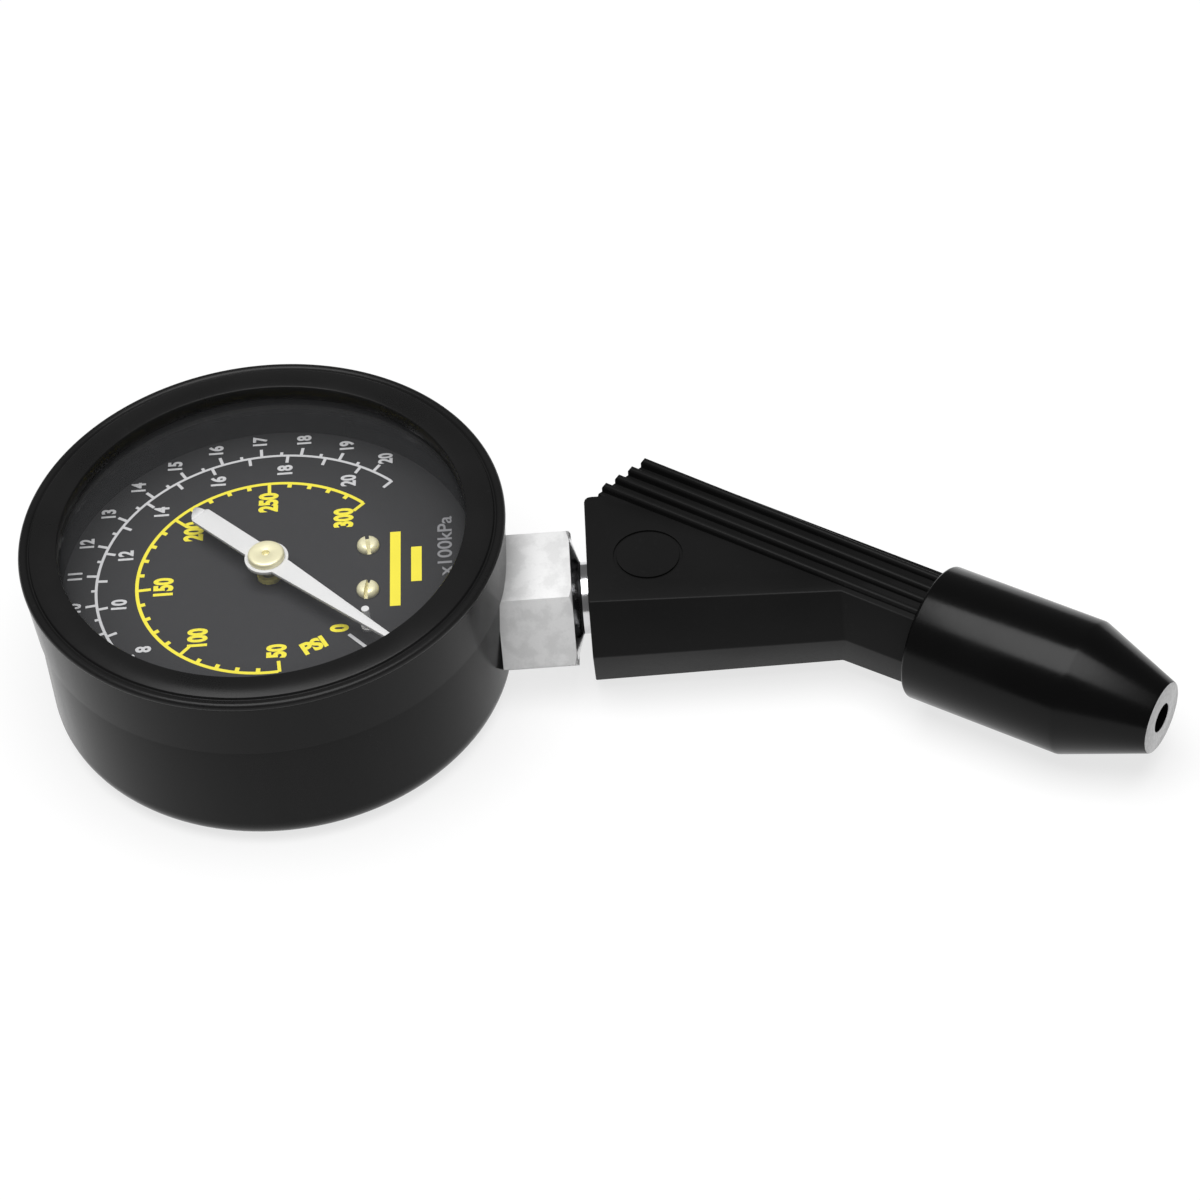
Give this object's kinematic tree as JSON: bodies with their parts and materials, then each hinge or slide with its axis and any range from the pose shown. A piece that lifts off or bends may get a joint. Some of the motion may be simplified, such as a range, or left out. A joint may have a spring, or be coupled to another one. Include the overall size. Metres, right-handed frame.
{
  "type": "compression tester gauge",
  "caption": "Dial pressure gauge on a bent ribbed hand grip with a push-in rubber cone, for reading engine cylinder compression.",
  "frame": {"origin": "centre of the gauge's back face", "axes": "+Z out of the dial; +X along the stem, towards the handle; +Y to the side that the nozzle bends away from"},
  "size_m": [0.1593, 0.0694, 0.0293],
  "materials": {
    "case_black": "satin black enamel",
    "clear_lens": "clear and polished",
    "seal_rubber": "matt",
    "dial_black": "matt black paint",
    "pointer_white": "matt white paint",
    "cream_brass": "pale satin brass",
    "plated_metal": "bright plating with a mottled sheen",
    "brass": "machined",
    "steel": "plain",
    "handle_black": "satin black moulding",
    "cone_rubber": "semi-gloss black"
  },
  "bodies": {
    "gauge_body": {"case": "case_black", "bezel": "case_black", "lens": "clear_lens", "lens_ring": "seal_rubber", "seal_washer": "seal_rubber", "dial": "dial_black", "stop_pin": "pointer_white", "dial_screws": "cream_brass", "socket": "plated_metal", "bourdon_tube": "brass", "tube_tip": "brass", "base_plate": "brass", "top_plate": "brass", "pillars": "brass", "center_bush": "brass", "thread_insert": "brass", "nozzle_tube": "brass", "valve_body": "brass", "valve_retainer": "brass", "case_screws": "steel", "plate_screws": "steel", "mounting_screws": "steel", "hairspring": "steel", "valve_spring": "steel", "handle": "handle_black", "rubber_cone": "cone_rubber"},
    "pointer_body": {"pointer": "pointer_white", "pointer_hub": "cream_brass", "pinion_shaft": "steel"},
    "sector_body": {"sector_gear": "brass", "sector_shaft": "steel"},
    "link_body": {"link": "brass", "link_pins": "steel"},
    "valve_pin_body": {"valve_pin": "brass"}
  },
  "joints": [
    {"name": "sector_turn", "type": "hinge", "parent": "gauge_body", "child": "sector_body", "pos_m": [0, 0.0147, 0.0155], "axis": [0, 0, 1], "range_deg": [0, 45], "stiffness_Nm_per_rad": 0.002},
    {"name": "pointer_turn", "type": "hinge", "parent": "gauge_body", "child": "pointer_body", "pos_m": [0, 0, 0.0155], "axis": [0, 0, 1], "range_deg": [-270, 0], "deforming": ["hairspring"]},
    {"name": "link_swing", "type": "hinge", "parent": "sector_body", "child": "link_body", "pos_m": [0.00321, 0.01087, 0.0165], "axis": [0, 0, 1], "range_deg": [-45, 0]},
    {"name": "valve_press", "type": "slide", "parent": "gauge_body", "child": "valve_pin_body", "axis": [-0.8358, 0.549, 0], "range_m": [0, 0.0012], "stiffness_N_per_m": 400, "springref_m": -0.001, "deforming": ["valve_spring"]}
  ],
  "couplings": [
    {"joint": "pointer_turn", "follows": "sector_turn", "ratio": -6},
    {"joint": "link_swing", "follows": "sector_turn", "ratio": -1}
  ]
}
